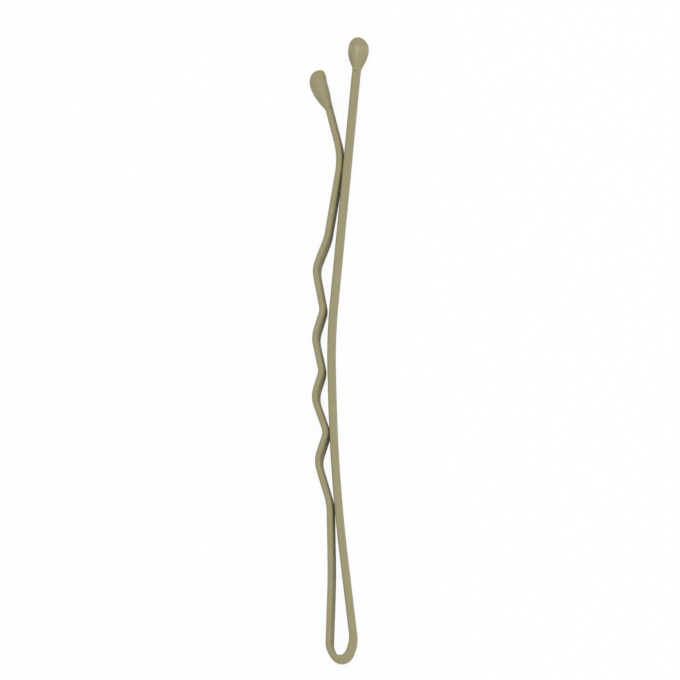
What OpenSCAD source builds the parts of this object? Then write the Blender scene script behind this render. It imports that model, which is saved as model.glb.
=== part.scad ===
/* [Wire] */
// Thickness of the bare wire, in the plane of the pin
wire_t = 0.43; // [0.38:0.01:0.5]
// Width of the bare wire, across the pin
wire_w = 1.25; // [1.1:0.05:1.5]
// Radius of the wire's rolled edges
edge_r = 0.29; // [0.28:0.01:0.4]
// Thickness of the enamel all round the wire
coat_t = 0.05; // [0.03:0.01:0.07]

/* [Loop] */
// Inside radius at the foot of the loop
eye_r = 0.43; // [0.4:0.01:0.46]
// Bend radius of the shoulder below the straight leg
right_shoulder_r = 2.7; // [2:0.1:2.8]
// Bend radius of the shoulder below the wavy leg
left_shoulder_r = 1.2; // [0.9:0.1:1.5]

/* [Straight leg] */
// Height of its low, gentle bend above the eye
low_bend_up = 13.8; // [12.5:0.1:16]
// Distance from the low bend up to the high bend
bow_run = 11.3; // [10:0.1:13]
// Radius of the low bend
low_bend_r = 140; // [80:5:160]
// Radius of the high bend
high_bend_r = 46; // [30:1:56]
// How far this leg's bead reaches above the wavy leg's
tip_step = 2.45; // [2:0.05:3.5]

/* [Wavy leg] */
// Height of the first trough above the eye
first_trough_up = 15.25; // [13:0.05:17]
// Distance from one trough to the next
crimp_pitch = 5.13; // [4.6:0.01:5.6]
// Distance from a trough up to the crest that follows
crimp_rise = 2.2; // [2:0.05:2.5]
// Distance from the last trough up to the arch that meets the straight leg
arch_run = 8.84; // [8:0.02:10.5]
// Distance from the arch up to the leg's tip
flare_run = 7.12; // [6.2:0.02:8]
// How far outward the leg flares from the arch to its tip
flare_out = 1.77; // [1.4:0.01:2]
// Bend radius in the troughs
trough_r = 2.2; // [1.6:0.1:2.6]
// Bend radius on the crests
crest_r = 1.25; // [1:0.05:1.6]
// Bend radius of the arch
arch_r = 6; // [4:0.5:7]
// Gap between the closed legs at the arch and at the first crest, where the real ones touch
grip_gap = 0.03; // [0.02:0.01:0.1]

/* [Beads] */
// Largest radius of both beads
bead_r = 0.8; // [0.74:0.01:0.88]
// Length of a bead from its widest place to its top
bead_top = 1.02; // [0.9:0.01:1.2]
// Length of the straight leg's bead from its widest place to where its taper would end
straight_taper = 2.05; // [1.8:0.05:2.3]
// The same for the wavy leg's bead
wavy_taper = 2.4; // [2.1:0.05:2.6]
// How far outward the wavy leg's bead sits off the wire
wavy_bead_out = 0.19; // [0.14:0.01:0.24]
// Thickness of the bead over the wire's end and over its inner side
bead_skin = 0.03; // [0.02:0.01:0.05]

/* [Spring] */
// Height of the place where each leg flexes, above the eye
flex_up = 6; // [5:0.1:7]
// Radius of the rounded leg end that turns there
flex_r = 0.39; // [0.37:0.01:0.43]
// Clearance round that end
flex_gap = 0.02; // [0.01:0.005:0.03]

/* [Hidden] */
$fn = 64;

steel = [0.62, 0.63, 0.64];
olive = [0.62, 0.595, 0.46];
half_t = wire_t / 2 + coat_t;
full_t = 2 * half_t;
nose_r = eye_r + half_t;
// Each bend is this much thicker than the straights that run into it, and they run in by the lap
proud = 0.004;
lap = 0.03;
// How far each wire ends below the top of its bead
wire_short = 0.5;

// Sizes of the corners that the legs turn at, up from the eye and right of it. A side is that of the
// leg's inner face, which keeps its place when the wire gets thicker.
right_shoulder_up = 0.58;
left_shoulder_up = 0.31;
straight_side = [0.74, -0.794, -1.087, 1.17];
wavy_side = [-0.646, -0.458, -0.564];
wavy_bend_r = 60;
lead_in_run = 3.49;
lead_in_r = 4.6;
rise_run = 2.39;
rise_in = 0.94;
rise_r = 3.8;

// Three crimps and a last trough. Each strays a little from the even pitch, as crimped wire does.
trough_side = [-1.568, -1.814, -1.757, -1.708];
trough_stray = [0, 0.02, -0.34, -0.01];
crest_side = [-0.814, -1.18, -1.091];
crest_stray = [0.02, -0.22, -0.44];
function crimp_up(n) = first_trough_up + crimp_pitch * n;
crimps = [
  for (i = [0 : 6])
    let (n = floor(i / 2))
      i % 2 == 0
        ? [trough_side[n] - half_t, crimp_up(n) + trough_stray[n], trough_r]
        : [crest_side[n] - half_t, crimp_up(n) + crimp_rise + crest_stray[n], crest_r]
];
last_trough = crimps[6];
lead_in_up = first_trough_up - lead_in_run;
arch_up = last_trough[1] + arch_run;
wavy_top = arch_up + flare_run;
straight_top = wavy_top + tip_step;

// Corners of the wire's centre line, each [right of the eye, above the eye, bend radius]
straight_out = [
  [straight_side[0] + half_t, right_shoulder_up, right_shoulder_r],
  [straight_side[1] + half_t, low_bend_up, low_bend_r],
  [straight_side[2] + half_t, low_bend_up + bow_run, high_bend_r],
  [straight_side[3] + half_t, straight_top, 0]
];
arch_side = 0.354;
wavy_out = concat(
  [
    [wavy_side[0] - half_t, left_shoulder_up, left_shoulder_r],
    [wavy_side[1] - half_t, lead_in_up * 0.51, wavy_bend_r],
    [wavy_side[2] - half_t, lead_in_up, lead_in_r]
  ],
  crimps,
  [
    [last_trough[0] + rise_in, last_trough[1] + rise_run, rise_r],
    [arch_side - half_t, arch_up, arch_r],
    [arch_side - half_t - flare_out, wavy_top, 0]
  ]
);

// Further than any part of the pin reaches
far = 2 * straight_top;

function bearing(v) = atan2(v[1], v[0]);
function unit(a) = [cos(a), sin(a)];
function flat(c) = [c[0], c[1]];
function wrap(a) = a > 180 ? a - 360 : a < -180 ? a + 360 : a;

// Where the line from corner s touches the nose, on the side given by dir
function nose_angle(s, dir) = bearing(s) + dir * acos(nose_r / norm(flat(s)));
right_nose = nose_angle(straight_out[0], -1);
left_nose = nose_angle(wavy_out[0], 1);
straight = concat([[nose_r * cos(right_nose), nose_r * sin(right_nose), 0]], straight_out);
wavy_drawn = concat([[nose_r * cos(left_nose), nose_r * sin(left_nose), 0]], wavy_out);

// Heading of the straight that leaves corner i, the turn at corner i, and how far its bend sets back
function heading(c, i) = bearing(flat(c[i + 1]) - flat(c[i]));
function turn(c, i) = wrap(heading(c, i) - heading(c, i - 1));
function bends(c, i) = i > 0 && i < len(c) - 1;
function setback(c, i) = bends(c, i) ? c[i][2] * tan(abs(turn(c, i)) / 2) : 0;
function bar_start(c, i) = flat(c[i]) + setback(c, i) * unit(heading(c, i));
function bar_end(c, i) = flat(c[i + 1]) - setback(c, i + 1) * unit(heading(c, i));
function bend_side(c, i) = sign(turn(c, i));
function bend_centre(c, i) =
  bar_end(c, i - 1) + bend_side(c, i) * c[i][2] * unit(heading(c, i - 1) + 90);

// Gap that the wavy leg as drawn leaves to the straight leg: its arch to the long straight, and its
// first crest to the low bend. The crest, and the arch with the tip, then move by what each is off.
arch = len(wavy_drawn) - 2;
first_crest = 5;
arch_gap =
  cross(unit(heading(straight, 3)), bend_centre(wavy_drawn, arch) - bar_start(straight, 3))
  - arch_r - full_t;
crest_gap =
  norm(bend_centre(wavy_drawn, first_crest) - bend_centre(straight, 2))
  - low_bend_r - crest_r - full_t;
wavy = [
  for (i = [0 : len(wavy_drawn) - 1])
    let (off = i >= arch ? arch_gap - grip_gap : i == first_crest ? crest_gap - grip_gap : 0)
      wavy_drawn[i] + [off, 0, 0]
];

// How far right of the eye the centre line of leg c lies at height y, on or just below its second bend
function flex_x(c, y) =
  let (foot = bar_end(c, 1), middle = bend_centre(c, 2))
    y > foot[1]
      ? middle[0] + sign(foot[0] - middle[0]) * sqrt(c[2][2] ^ 2 - (y - middle[1]) ^ 2)
      : foot[0] + (y - foot[1]) / tan(heading(c, 1));

// Section of the wire, g thicker all round: flat faces and rolled edges that meet them at a corner
module section(g) {
  t = wire_t + 2 * g;
  w = wire_w + 2 * g;
  r = edge_r + g;
  square([t, w - 2 * r], center = true);
  for (side = [-1, 1])
    intersection() {
      translate([0, side * (w / 2 - r)]) circle(r = r);
      square([t, w], center = true);
    }
}

// Straight i of leg c, run into the bends at its ends. The last one stops short of the bead's top.
module bar(c, i, g) {
  p = bar_start(c, i);
  last = i == len(c) - 2;
  reach = norm(bar_end(c, i) - p) + (last ? g - wire_short : lap);
  translate([p[0], p[1], 0])
    rotate([0, 0, heading(c, i)])
      translate([-lap, 0, 0])
        rotate([90, 0, 90])
          linear_extrude(height = reach + lap) section(g);
}

// An arc of wire of centre-line radius r round point p, from the bearing start through angle
module arc(p, r, start, angle, g)
  translate([p[0], p[1], 0])
    rotate_extrude(start = start, angle = angle)
      translate([r, 0]) section(g + proud);

module bend(c, i, g)
  arc(
    bend_centre(c, i), c[i][2],
    heading(c, i - 1) - 90 * bend_side(c, i) + min(0, turn(c, i)),
    abs(turn(c, i)), g
  );

// The wire of the loop, with both legs up to their second bends
module loop_run(g) {
  arc([0, 0], nose_r, left_nose, right_nose + 360 - left_nose, g);
  for (c = [straight, wavy], i = [0, 1]) {
    bar(c, i, g);
    bend(c, i + 1, g);
  }
}

// The wire of one leg, from the straight below its second bend to its end
module leg_run(c, g) {
  for (i = [1 : len(c) - 2]) bar(c, i, g);
  for (i = [2 : len(c) - 2]) bend(c, i, g);
}

// What is above the height where the legs flex, and what is below it
module above() translate([-far, flex_up, -far]) cube(2 * far);
module below() translate([-far, flex_up - 2 * far, -far]) cube(2 * far);

// The round space or solid about the point where leg c flexes
module knuckle(c, r)
  translate([flex_x(c, flex_up), flex_up, 0]) cylinder(r = r, h = 2 * far, center = true);

// Cuts the loop's wire off with hollow ends, for the rounded ends of the legs
module loop_part()
  difference() {
    children();
    above();
    for (c = [straight, wavy]) knuckle(c, flex_r + flex_gap);
  }

// Cuts a leg's wire off with a rounded end
module leg_part(c)
  difference() {
    children();
    difference() {
      below();
      knuckle(c, flex_r);
    }
  }

// A bead: a bulb that is half an ellipse at the top and tapers down the wire as a cosine
module bulb(taper) {
  step = 7.5;
  rotate_extrude()
    polygon(concat(
      [for (a = [90 : -step : step]) [bead_r * cos(a), -taper * a / 90]],
      [for (a = [0 : step : 90]) [bead_r * cos(a), bead_top * sin(a)]]
    ));
}

// Stands its children at the end of leg c, out to its left, with their +Z along the leg
module at_tip(c, out) {
  a = heading(c, len(c) - 2);
  p = flat(c[len(c) - 1]) - bead_top * unit(a) + out * unit(a + 90);
  translate([p[0], p[1], 0]) rotate([0, 90, a]) children();
}

module bend_wire() color(steel) loop_part() loop_run(0);

module bend_enamel()
  color(olive)
    loop_part()
      difference() {
        loop_run(coat_t);
        loop_run(0);
      }

module leg_wire(c) color(steel) leg_part(c) leg_run(c, 0);

module leg_enamel(c)
  color(olive)
    leg_part(c)
      difference() {
        leg_run(c, coat_t);
        leg_run(c, 0);
      }

module straight_leg_tip()
  color(olive)
    difference() {
      at_tip(straight, 0) bulb(straight_taper);
      bar(straight, len(straight) - 2, coat_t);
    }

// The wavy leg's bead lies outward, and its inner side is flat, level with the leg's
module wavy_leg_tip()
  color(olive)
    difference() {
      at_tip(wavy, wavy_bead_out) bulb(wavy_taper);
      bar(wavy, len(wavy) - 2, coat_t);
      at_tip(wavy, 0) translate([-far, -2 * far - half_t - bead_skin, -far]) cube(2 * far);
    }

bend_wire();
bend_enamel();
leg_wire(straight);  // straight_leg_wire
leg_enamel(straight);  // straight_leg_enamel
straight_leg_tip();
leg_wire(wavy);  // wavy_leg_wire
leg_enamel(wavy);  // wavy_leg_enamel
wavy_leg_tip();
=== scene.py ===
"""An olive lacquered bobby pin lying on a pale floor, seen from above and a little from one side.

The shapes are worked out in millimetres, and closed_shell makes them metres. All else is in
metres. The pin lies in the XY plane, with its loop at the origin, its tips towards +Y and the
width of its wire along Z.
"""

import bpy
import numpy as np
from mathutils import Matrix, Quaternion, Vector


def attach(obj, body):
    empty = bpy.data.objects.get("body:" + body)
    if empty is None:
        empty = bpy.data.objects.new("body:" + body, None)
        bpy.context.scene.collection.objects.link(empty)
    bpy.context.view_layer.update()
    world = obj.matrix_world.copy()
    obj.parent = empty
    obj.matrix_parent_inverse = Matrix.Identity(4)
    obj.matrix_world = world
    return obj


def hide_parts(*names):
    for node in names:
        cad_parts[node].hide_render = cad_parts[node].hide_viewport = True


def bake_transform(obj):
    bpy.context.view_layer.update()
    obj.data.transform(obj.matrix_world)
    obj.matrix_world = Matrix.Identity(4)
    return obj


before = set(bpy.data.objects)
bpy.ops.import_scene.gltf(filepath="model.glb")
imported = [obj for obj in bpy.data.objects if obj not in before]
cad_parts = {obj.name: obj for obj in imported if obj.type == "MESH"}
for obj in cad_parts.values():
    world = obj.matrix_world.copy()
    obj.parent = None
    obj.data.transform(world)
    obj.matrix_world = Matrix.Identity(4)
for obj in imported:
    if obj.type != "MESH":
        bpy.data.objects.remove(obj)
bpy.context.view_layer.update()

MM = 0.001

# In millimetres: the eye's radius, half the lacquered wire's thickness in the plane of the pin,
# half its width across the pin, the lacquer's thickness, and how far the steel ends below a tip
EYE_R = 0.43
HALF_T = 0.265
HALF_W = 0.675
COAT = 0.05
STEEL_SHORT = 0.5
FOOT_R = EYE_R + HALF_T

# Corners of the wire's centre line in millimetres, each right of the eye, above it, bend radius
STRAIGHT_CORNERS = [
    (1.005, 0.58, 2.7), (-0.529, 13.8, 140.0), (-0.822, 25.1, 46.0), (1.435, 49.04, 0.0),
]
WAVY_CORNERS = [
    (-0.911, 0.31, 1.2), (-0.723, 5.998, 60.0), (-0.829, 11.76, 4.6),
    (-1.833, 15.25, 2.2), (-1.091, 17.47, 1.25), (-2.079, 20.4, 2.2), (-1.445, 22.36, 1.25),
    (-2.022, 25.17, 2.2), (-1.356, 27.27, 1.25), (-1.973, 30.63, 2.2),
    (-1.033, 33.02, 3.8), (0.052, 39.47, 6.0), (-1.718, 46.59, 0.0),
]

# Points on each centre line, and how far each way, in millimetres, the average that eases it goes
LINE_POINTS = 24001
EASED_BY = 0.3


def route(corners, side):
    """The wire's centre line from the foot of the loop to one tip.

    The heading turns evenly along each bend and holds along each straight. The line starts with
    half of the foot's arc, and its points are the running sum of the headings' directions. A
    short moving average then eases each bend into its straights, as in a wire that is bent over
    a former. Gives arc lengths, x and y in millimetres and headings in radians, closely spaced.
    side is 1 for the leg on the right and -1 for the leg on the left.
    """
    p = np.array([c[:2] for c in corners])
    radius = np.append(0.0, [c[2] for c in corners])
    first = np.arctan2(p[0, 1], p[0, 0]) - side * np.arccos(FOOT_R / np.hypot(*p[0]))
    first = (first + np.pi) % (2 * np.pi) - np.pi
    p = np.vstack([FOOT_R * np.array([np.cos(first), np.sin(first)]), p])
    step = np.diff(p, axis=0)
    heading = np.arctan2(step[:, 1], step[:, 0])
    turn = np.abs(np.diff(heading))
    setback = np.concatenate([[0.0], radius[1:-1] * np.tan(turn / 2), [0.0]])
    straights = np.hypot(step[:, 0], step[:, 1]) - setback[:-1] - setback[1:]
    bends = np.append(radius[1:-1] * turn, 0.0)
    foot_turn = side * (first + np.pi / 2)
    lengths = np.append(FOOT_R * foot_turn, np.stack([straights, bends], 1).ravel()[:-1])
    knots = np.append(0.0, np.cumsum(lengths))
    knot_heading = np.append(heading[0] - side * foot_turn, np.repeat(heading, 2))
    s = np.linspace(0, knots[-1], LINE_POINTS)
    ds = s[1]
    h = np.interp(s, knots, knot_heading)
    middle = (h[1:] + h[:-1]) / 2
    x = np.append(0.0, np.cumsum(np.cos(middle)) * ds)
    y = np.append(0.0, np.cumsum(np.sin(middle)) * ds) - FOOT_R
    reach = int(EASED_BY / ds)
    weights = np.hanning(2 * reach + 1)
    weights /= weights.sum()

    def eased(line, mirror):
        """The weighted average, with the line carried on past both its ends."""
        before = mirror * line[reach:0:-1]
        after = 2 * line[-1] - line[-2:-reach - 2:-1]
        return np.convolve(np.concatenate([before, line, after]), weights, "valid")

    x, y = eased(x, -1), eased(y, 1)
    return s, x, y, np.unwrap(np.arctan2(np.gradient(y), np.gradient(x)))


def ease(t):
    """0 below 0, 1 above 1, and a smooth cubic between."""
    t = np.clip(t, 0, 1)
    return t * t * (3 - 2 * t)


def hump(x, centre, reach):
    """A smooth hump, 1 high at its centre and 0 from its reach outwards."""
    return np.cos(np.clip((x - centre) / reach, -1, 1) * np.pi / 2) ** 2


# Points round the wire and round each bead, and even angles for them
AROUND = 44
EVEN_ANGLES = np.arange(AROUND) / AROUND * 2 * np.pi
# The wire's section is |x|^p + |z|^p = 1 with this p, which gives nearly flat faces, rolled edges
SECTION_POWER = 3.5
# Edges that turn by more than this many degrees stay sharp
SHARP_FROM = 50


def closed_shell(name, rings, place):
    """A closed mesh from rings of points, with the first and last ring drawn together at a pole.

    Ring k and point j become vertices, and neighbours in both become four-sided faces. place,
    where each point is on the wire, is kept as an attribute for the finish.
    """
    count, around = rings.shape[:2]
    points = np.vstack([rings.reshape(-1, 3), rings[0].mean(0), rings[-1].mean(0)])
    i, j = np.meshgrid(np.arange(count - 1), np.arange(around), indexing="ij")
    k = (j + 1) % around
    quads = np.stack([i * around + j, i * around + k, (i + 1) * around + k, (i + 1) * around + j], -1)
    j = np.arange(around)
    k = (j + 1) % around
    last = (count - 1) * around
    first_fan = np.stack([np.full(around, count * around), k, j], 1)
    last_fan = np.stack([np.full(around, count * around + 1), last + j, last + k], 1)
    mesh = bpy.data.meshes.new(name)
    faces = quads.reshape(-1, 4).tolist() + first_fan.tolist() + last_fan.tolist()
    mesh.from_pydata((points * MM).tolist(), [], faces)
    mesh.polygons.foreach_set("use_smooth", np.ones(len(faces), bool))
    mesh.set_sharp_from_angle(angle=np.radians(SHARP_FROM))
    place = np.vstack([place.reshape(-1, 3), place[0].mean(0), place[-1].mean(0)])
    mesh.attributes.new("place", "FLOAT_VECTOR", "POINT").data.foreach_set("vector", place.ravel())
    mesh.update()
    obj = bpy.data.objects.new(name, mesh)
    bpy.context.scene.collection.objects.link(obj)
    return obj


def section():
    """Points round a section 1 in half thickness and half width: |x|^p + |z|^p = 1."""
    across, over = np.cos(EVEN_ANGLES), np.sin(EVEN_ANGLES)
    power = 2 / SECTION_POWER
    return np.sign(across) * np.abs(across) ** power, np.sign(over) * np.abs(over) ** power


def at(line, s):
    """x, y and heading of the centre line at the arc lengths s, in millimetres."""
    return [np.interp(s, line[0], line[k]) for k in (1, 2, 3)]


def wire_rings(line, s, half_t, half_w):
    """Rings of points round the wire at the arc lengths s, in millimetres.

    Each ring is the section, half_t thick each way and half_w wide each way, set square to the
    centre line.
    """
    x, y, h = (v[:, None] for v in at(line, s))
    across, over = section()
    across, over = half_t[:, None] * across, half_w[:, None] * over
    return np.stack([x - np.sin(h) * across, y + np.cos(h) * across, over], -1)


def wire_place(s):
    """Where each point of the rings is on the wire: along it, across it, over it, in millimetres."""
    across, over = section()
    shape = (len(s), AROUND)
    return np.stack([
        np.broadcast_to(s[:, None], shape),
        np.broadcast_to(HALF_T * across, shape),
        np.broadcast_to(HALF_W * over, shape),
    ], -1)


# How far the lacquer's slow waves rise and fall, in millimetres
WAVER = 0.002


class Leg:
    """One half of the pin: its line, and the sizes of its lacquered wire."""

    def __init__(self, corners, side):
        self.line = route(corners, side)
        self.length = self.line[0][-1]
        self.side = side

    def samples(self, end, count):
        """Arc lengths up to the end, 0.3 t + 0.7 t^2 of it, so closest together in the foot."""
        t = np.linspace(0, 1, count)
        return end * (0.3 * t + 0.7 * t * t)

    def sizes(self, s):
        """Half the thickness and half the width, which waver as sines of the arc length.

        The one sine that the two halves don't share fades in over the first 3 mm of wire, so
        that the halves meet in the foot at the same size.
        """
        own = np.sin(s * 1.9 + self.side) * ease(s / 3)
        half_t = HALF_T + WAVER * (own + np.sin(s * 4.3 + 2))
        half_w = HALF_W + WAVER * np.sin(s * 2.6)
        return half_t, half_w

    def rings(self, s, below=0.0):
        """Rings on the lacquer's surface, or this far below it, where the thickness is even."""
        half_t, half_w = self.sizes(s)
        if below:
            half_t = np.full_like(s, HALF_T)
        return wire_rings(self.line, s, half_t - below, half_w - below)


STRAIGHT = Leg(STRAIGHT_CORNERS, 1)
WAVY = Leg(WAVY_CORNERS, -1)


def rounded_end(rings, line, tip, length):
    """Adds rings that draw the end of a wire in towards its line, over this length up to the tip.

    At the share t of the length a ring is sqrt(1 - t^2) of the last one's size, as in a quarter
    of an ellipse.
    """
    steps = 6
    t = np.linspace(0, 1, steps + 1)[1:-1, None, None]
    x, y, h = (v[0] for v in at(line, np.array([tip - length])))
    ahead = np.array([np.cos(h), np.sin(h), 0])
    middle = np.array([x, y, 0])
    extra = middle + length * t * ahead + (rings[-1] - middle) * np.sqrt(1 - t * t)
    return np.concatenate([rings, extra])


def make_enamel(leg, name):
    """The lacquer on half of the pin: a skin with an outer and an inner wall, closed at its tip."""
    end = leg.length - STEEL_SHORT + COAT
    nose = 0.2
    s = leg.samples(end - nose, 600)
    outer = rounded_end(leg.rings(s), leg.line, end, nose)
    inner = rounded_end(leg.rings(s, COAT), leg.line, end - COAT, nose - COAT)[::-1]
    s = np.append(s, np.full(len(outer) - len(s), end))
    place = wire_place(s)
    return closed_shell(name, np.concatenate([inner, outer]), np.concatenate([place[::-1], place]))


def make_core(leg, name):
    """The steel inside the lacquer, a hair thinner than the space for it."""
    end = leg.length - STEEL_SHORT
    nose = 0.1
    hair = 0.002
    s = leg.samples(end - nose, 300)
    rings = rounded_end(leg.rings(s, COAT + hair), leg.line, end, nose)
    s = np.append(s, np.full(len(rings) - len(s), end))
    return closed_shell(name, rings, wire_place(s))


def soft_least(a, b, reach):
    """The smaller of two values, eased over the reach where they are nearly the same."""
    t = np.clip(0.5 + (b - a) / (2 * reach), 0, 1)
    return b + (a - b) * t - reach * t * (1 - t)


# In millimetres: a bead's largest radius, its length above its widest place, the lacquer over the
# wire on a flat side, and the spare length of its socket
BEAD_R = 0.8
BEAD_TOP = 1.02
BEAD_SKIN = 0.03
SOCKET_SPARE = 0.01


def make_bead(leg, name, taper, out, blunt, flat_inside, sway):
    """The drop of lacquer on a leg's end, hollow where the lacquered wire goes in.

    Heights are up from the widest place, where the drop is round. Its radius follows a cosine
    over the taper below that, while its depth shrinks to the wire's. Above it, with both as
    shares of their largest, |radius|^p + |height|^p = 1, where p goes from 2, an ellipse, on the
    outer side to blunt on the inner. The drop lies outward of the wire by out and sways to its
    left towards the top. It may be flat inside, with a lip near the top of the flat. Where it
    runs onto the wire the two are eased into each other. Each point is found by bisection along
    a ray from the middle of its ring.
    """
    # The drop stops just short of where its taper would end, and has 96 rings, 0.6 of them below
    # the widest place. The last is a little below the top, and closed_shell closes it.
    low, high = -0.97 * taper, BEAD_TOP
    t = np.linspace(0, 0.99, 96)
    share_below = 0.6
    rise = np.sin((t - share_below) / (1 - share_below) * np.pi / 2)
    up = np.where(t < share_below, low * (1 - t / share_below), high * rise)[:, None]
    above_rim = up - low
    widest = leg.length - BEAD_TOP
    half_t, half_w = leg.sizes(widest + up)

    # At the rim the rays go to the wire's own points, and from 1.3 mm up they are evenly spread
    across, over = section()
    wiry = np.unwrap(np.arctan2(HALF_W * over, HALF_T * across))
    a = wiry + (EVEN_ANGLES - wiry) * ease(above_rim / 1.3)
    outward = -leg.side
    centre = outward * out + sway * np.maximum(up, 0) ** 2 / high
    middle = centre * ease(above_rim / -low)

    power = 2 + (blunt - 2) * (0.5 - 0.5 * outward * np.cos(a)) ** 2
    share = np.where(
        up < 0,
        np.cos(np.clip(-up / taper, 0, 1) * np.pi / 2),
        np.clip(1 - np.maximum(up / high, 0) ** power, 0, 1) ** (1 / power),
    )
    radius = BEAD_R * share
    neck = half_w - 0.02
    half_depth = np.where(up < 0, neck + (BEAD_R - neck) * share, radius)

    # The flat stands 0.05 mm further out at the lip and 0.015 mm further in at the widest place.
    # The easing between drop and wire reaches 0.08 mm each way, and next to nothing at the rim.
    # There the bead ends 4 microns under the wire's surface. From 0.5 mm up it lies 10 over it,
    # and above the widest place the wire is left out, as its distance grows by twice the height.
    lip = 0.05 * hump(up, 0.66, 0.45) - 0.015 * hump(up, 0.0, 0.4)
    flat_eased_by = 0.08
    melt = 0.001 + 0.079 * ease(above_rim / 0.9)
    skin = 0.014 * ease(above_rim / 0.5) - 0.004

    def depth(reach):
        """Below 0 inside the drop or the wire, above 0 outside, at this reach along each ray."""
        v, z = middle + reach * np.cos(a), reach * np.sin(a)
        drop = (np.hypot((v - centre) / radius, z / half_depth) - 1) * radius
        if flat_inside:
            flat = outward * v + half_t + BEAD_SKIN + lip
            drop = -soft_least(-drop, flat, flat_eased_by)
        wire = np.abs(v / half_t) ** SECTION_POWER + np.abs(z / half_w) ** SECTION_POWER
        wire = (wire ** (1 / SECTION_POWER) - 1) * half_t
        left_out = 2 * np.maximum(up, 0)
        return soft_least(drop, wire - skin + left_out, melt)

    beyond = 1.4
    near = np.zeros(a.shape)
    far = np.full(a.shape, beyond)
    for _ in range(32):
        half = (near + far) / 2
        inside = depth(half) < 0
        near = np.where(inside, half, near)
        far = np.where(inside, far, half)

    v, z = middle + near * np.cos(a), near * np.sin(a)
    along = np.broadcast_to(up, v.shape)
    x, y, h = (float(q) for q in at(leg.line, leg.length))
    outer = np.stack([
        x + (along - BEAD_TOP) * np.cos(h) - v * np.sin(h),
        y + (along - BEAD_TOP) * np.sin(h) + v * np.cos(h),
        z,
    ], -1)
    s = np.linspace(widest + low, leg.length - STEEL_SHORT + COAT + SOCKET_SPARE, 12)
    rings = np.concatenate([leg.rings(s)[::-1], outer])
    place = np.concatenate([wire_place(s)[::-1], np.stack([widest + along, v, z], -1)])
    return closed_shell(name, rings, place)


class Field:
    """A number that varies over a surface. Its +, - and * with fields and numbers add Math nodes."""

    def __init__(self, finish, socket):
        self.finish, self.socket = finish, socket

    def _math(self, operation, a, b):
        node = self.finish.node("ShaderNodeMath", {"operation": operation}, {0: a, 1: b})
        return Field(self.finish, node.outputs[0])

    def __add__(self, other):
        return self._math("ADD", self, other)

    def __radd__(self, other):
        return self._math("ADD", other, self)

    def __sub__(self, other):
        return self._math("SUBTRACT", self, other)

    def __rsub__(self, other):
        return self._math("SUBTRACT", other, self)

    def __mul__(self, other):
        return self._math("MULTIPLY", self, other)

    def __rmul__(self, other):
        return self._math("MULTIPLY", other, self)


class Finish:
    """A material or a world that is built up from nodes."""

    def __init__(self, owner):
        self.owner = owner
        owner.use_nodes = True
        self.tree = owner.node_tree
        self.tree.nodes.clear()

    def node(self, kind, settings=None, inputs=None):
        """Adds a node with these settings, and these values or links on its sockets."""
        node = self.tree.nodes.new(kind)
        for key, value in (settings or {}).items():
            setattr(node, key, value)
        for key, value in (inputs or {}).items():
            if isinstance(value, Field):
                self.tree.links.new(value.socket, node.inputs[key])
            elif isinstance(value, bpy.types.NodeSocket):
                self.tree.links.new(value, node.inputs[key])
            else:
                node.inputs[key].default_value = value
        return node

    def noise(self, where, scale, detail):
        """Soft random values about 0, from -0.5 to 0.5."""
        inputs = {"Vector": where, "Scale": scale, "Detail": detail}
        return Field(self, self.node("ShaderNodeTexNoise", {}, inputs).outputs[0]) - 0.5

    def stretched(self, where, scales):
        """A place scaled by its own amount each way, so that a pattern on it runs along the wire."""
        inputs = {0: where, 1: scales}
        return self.node("ShaderNodeVectorMath", {"operation": "MULTIPLY"}, inputs).outputs[0]

    def length(self, vector):
        """How long a vector is."""
        node = self.node("ShaderNodeVectorMath", {"operation": "LENGTH"}, {0: vector})
        return Field(self, node.outputs["Value"])

    def between(self, first, second, share):
        """A colour between two colours."""
        inputs = {0: share, 6: first, 7: second}
        return self.node("ShaderNodeMix", {"data_type": "RGBA"}, inputs).outputs[2]

    def share(self, value, low, high):
        """0 where the value is low, 1 where it is high, and smooth between."""
        settings = {"interpolation_type": "SMOOTHSTEP"}
        inputs = {"Value": value, "From Min": low, "From Max": high}
        return Field(self, self.node("ShaderNodeMapRange", settings, inputs).outputs[0])

    def bump(self, height, distance, under=None):
        """A normal tilted as by a relief this many metres high, on top of another one's."""
        inputs = {"Height": height, "Distance": distance}
        if under is not None:
            inputs["Normal"] = under
        return self.node("ShaderNodeBump", {}, inputs).outputs[0]

    def seen(self):
        """1 where a ray comes from the camera, a mirror or glass, and 0 for other light."""
        path = self.node("ShaderNodeLightPath")
        rays = [path.outputs[ray] for ray in ("Is Camera Ray", "Is Glossy Ray", "Is Transmission Ray")]
        return Field(self, rays[0]) + Field(self, rays[1]) + Field(self, rays[2])

    def surface(self, inputs):
        """Closes the material with a Principled shader, and gives the material."""
        shader = self.node("ShaderNodeBsdfPrincipled", {}, inputs)
        self.node("ShaderNodeOutputMaterial", {}, {"Surface": shader.outputs[0]})
        return self.owner


def colour(r, g, b):
    """An opaque colour in linear light."""
    return (r, g, b, 1.0)


# How far from the wire's line, in millimetres, a bead's gloss begins and is whole
GLOSS_FROM = 0.765
GLOSS_WHOLE = 0.81


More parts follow.
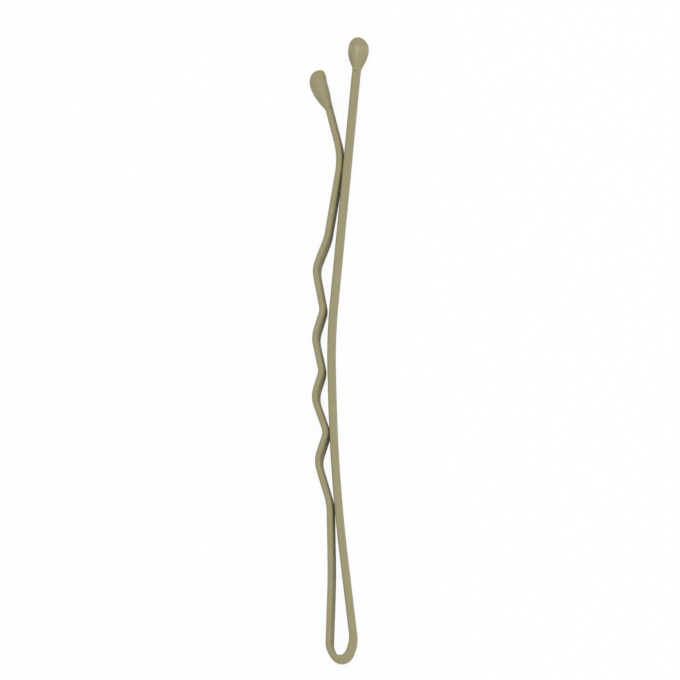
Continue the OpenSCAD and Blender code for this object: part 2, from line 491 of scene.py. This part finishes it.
def olive_lacquer(name, gloss=0.0):
    """Satin olive lacquer: slow mottling, faint streaks along the wire, and an orange-peel skin.

    Scales on the point are per metre, so the mottling's spots are about 1 mm wide, the peel's
    0.4 mm, the specks 0.14 mm and the grain 0.06 mm. The streaks are about 2 mm long. The gloss
    is a clear coat that a bead has only where it is thickest.
    """
    f = Finish(bpy.data.materials.new(name))
    point = f.node("ShaderNodeTexCoord").outputs["Object"]
    place = f.node("ShaderNodeAttribute", {"attribute_name": "place"}).outputs["Vector"]
    mottle = f.noise(point, 900, 3)
    streak = f.noise(f.stretched(place, (0.5, 7, 7)), 1.0, 2)
    speck = f.noise(point, 7000, 2)
    shade = 0.5 + 0.7 * mottle + 0.5 * streak + 0.35 * speck
    body = f.between(colour(0.302, 0.268, 0.147), colour(0.356, 0.320, 0.186), shade)
    from_line = f.length(f.stretched(place, (0, 1, 1)))
    thick = f.share(from_line, GLOSS_FROM, GLOSS_WHOLE)
    peel = f.noise(point, 2600, 2)
    grain = f.noise(point, 16000, 2)
    skin = f.bump(grain, 0.0000012, f.bump(peel, 0.000009))
    return f.surface({
        "Base Color": body,
        "Roughness": 0.58 + 0.16 * mottle + 0.1 * grain,
        "Specular IOR Level": 0.2,
        "Coat Weight": gloss * thick,
        "Coat Roughness": 0.26,
        "Normal": skin,
    })


def rolled_steel(name):
    """Bare rolled spring steel, with fine lines along the wire."""
    f = Finish(bpy.data.materials.new(name))
    place = f.node("ShaderNodeAttribute", {"attribute_name": "place"}).outputs["Vector"]
    lines = f.noise(f.stretched(place, (0.8, 40, 40)), 1.0, 3)
    body = f.between(colour(0.33, 0.33, 0.335), colour(0.5, 0.5, 0.5), 0.5 + lines)
    return f.surface({
        "Base Color": body,
        "Metallic": 1.0,
        "Roughness": 0.34 + 0.3 * lines,
        "Normal": f.bump(lines, 0.000001),
    })


enamel_finish = olive_lacquer("olive_enamel")
bead_finish = olive_lacquer("olive_bead", 0.8)
dull_bead_finish = olive_lacquer("olive_bead_dull", 0.1)
steel_finish = rolled_steel("spring_steel")

# Each half's lacquer and steel: name, maker, leg, the leg's body, stuff and finish
parts = [
    ("straight_side_enamel", make_enamel, STRAIGHT, "straight_leg", "enamel", enamel_finish),
    ("wavy_side_enamel", make_enamel, WAVY, "wavy_leg", "enamel", enamel_finish),
    ("straight_side_core", make_core, STRAIGHT, "straight_leg", "wire", steel_finish),
    ("wavy_side_core", make_core, WAVY, "wavy_leg", "wire", steel_finish),
]
for name, make, leg, body, stuff, finish in parts:
    piece = make(leg, name)
    piece.data.materials.append(finish)
    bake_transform(piece)
    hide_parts("bend_" + stuff, body + "_" + stuff)

# Each bead: leg, the leg's body, finish, and what make_bead takes
for leg, body, finish, taper, out, blunt, flat_inside, sway in (
    (STRAIGHT, "straight_leg", bead_finish, 1.94, 0.0, 2.0, False, 0.1),
    (WAVY, "wavy_leg", dull_bead_finish, 2.4, 0.19, 2.7, True, 0.0),
):
    piece = make_bead(leg, body + "_bead", taper, out, blunt, flat_inside, sway)
    piece.data.materials.append(finish)
    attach(piece, body)
    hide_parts(body + "_tip")


def make_floor():
    """A plane just below the undersides of the loop's foot and the beads.

    It leans by 0.15 degrees, because the beads are thicker than the foot. Its height is straight
    in y, by the gap below one place at the foot and one between the beads.
    """
    half = 0.6
    gap = 0.01 * MM
    foot_y, foot_z = -1.1 * MM, -HALF_W * MM
    beads_y, beads_z = 46.6 * MM, -BEAD_R * MM
    slope = (beads_z - foot_z) / (beads_y - foot_y)
    square = ((-half, -half), (half, -half), (half, half), (-half, half))
    corners = [(x, y, foot_z + slope * (y - foot_y) - gap) for x, y in square]
    mesh = bpy.data.meshes.new("floor")
    mesh.from_pydata(corners, [], [(0, 1, 2, 3)])
    floor = bpy.data.objects.new("floor", mesh)
    bpy.context.scene.collection.objects.link(floor)
    return floor


def floor_finish():
    """Pale card. Seen directly or in a reflection it is mostly its own even white."""
    own_white = 0.93
    f = Finish(bpy.data.materials.new("pale_floor"))
    card = f.node("ShaderNodeBsdfDiffuse", {}, {"Color": colour(0.96, 0.96, 0.96)})
    glow = f.node("ShaderNodeEmission", {}, {"Color": colour(1, 1, 1), "Strength": 1.0})
    mixed = f.node("ShaderNodeMixShader", {}, {
        0: f.seen() * own_white, 1: card.outputs[0], 2: glow.outputs[0],
    })
    f.node("ShaderNodeOutputMaterial", {}, {"Surface": mixed.outputs[0]})
    return f.owner


make_floor().data.materials.append(floor_finish())


def make_world():
    """Even soft light from all round, and plain white where it is seen or mirrored."""
    dim = 0.66
    f = Finish(bpy.data.worlds.new("studio"))
    sky = f.node("ShaderNodeBackground", {}, {
        "Color": colour(1, 1, 1), "Strength": dim + f.seen() * (1 - dim),
    })
    f.node("ShaderNodeOutputWorld", {}, {"Surface": sky.outputs[0]})
    return f.owner


bpy.context.scene.world = make_world()


# Where both lamps aim
PIN_MIDDLE = (0.0, 0.025, 0.0)


def soft_box(name, place, size, power, turn):
    """A square lamp of so many watts that faces the middle of the pin, turned about its axis."""
    lamp = bpy.data.lights.new(name, "AREA")
    lamp.shape = "SQUARE"
    lamp.size = size
    lamp.energy = power
    obj = bpy.data.objects.new(name, lamp)
    bpy.context.scene.collection.objects.link(obj)
    aim = (Vector(PIN_MIDDLE) - Vector(place)).to_track_quat("-Z", "Y")
    obj.location = place
    obj.rotation_mode = "QUATERNION"
    obj.rotation_quaternion = aim @ Quaternion((0, 0, 1), turn)


soft_box("key", (0.0, 0.165, 0.335), 0.2, 0.33, np.pi / 4)
soft_box("side", (0.25, -0.19, 0.26), 0.3, 0.44, 0.0)

# The camera is tilted off straight above, towards this bearing from +X, and the view is then
# turned. The picture is so many pixels wide and high, and the loop's eye is at EYE_PIXEL in it.
VIEW_TILT = np.radians(20.5)
VIEW_SIDE = np.radians(-55.5)
VIEW_TURN = np.radians(-1.728)
PICTURE = 680
MM_PER_PIXEL = 0.07654
EYE_PIXEL = (341.33, 651.01)
CAMERA_AWAY = 0.4


def make_camera():
    """A camera at the photograph's angle, with the loop's eye at its place in the picture."""
    camera = bpy.data.cameras.new("photo_camera")
    camera.type = "ORTHO"
    camera.ortho_scale = PICTURE * MM_PER_PIXEL * MM
    camera.clip_start = 0.01
    camera.clip_end = 2.0
    view = bpy.data.objects.new("photo_camera", camera)
    tilt = Quaternion((-np.sin(VIEW_SIDE), np.cos(VIEW_SIDE), 0), VIEW_TILT)
    turned = Quaternion((0, 0, 1), VIEW_TURN) @ tilt
    right, up, back = (turned @ Vector(axis) for axis in ((1, 0, 0), (0, 1, 0), (0, 0, 1)))
    pixels_right, pixels_up = PICTURE / 2 - EYE_PIXEL[0], EYE_PIXEL[1] - PICTURE / 2
    aim = (right * pixels_right + up * pixels_up) * MM_PER_PIXEL * MM
    aim -= back * (aim.z / back.z)
    view.location = aim + back * CAMERA_AWAY
    view.rotation_mode = "QUATERNION"
    view.rotation_quaternion = turned
    bpy.context.scene.collection.objects.link(view)
    return view


bpy.context.scene.camera = make_camera()
bpy.context.scene.view_settings.view_transform = "Standard"
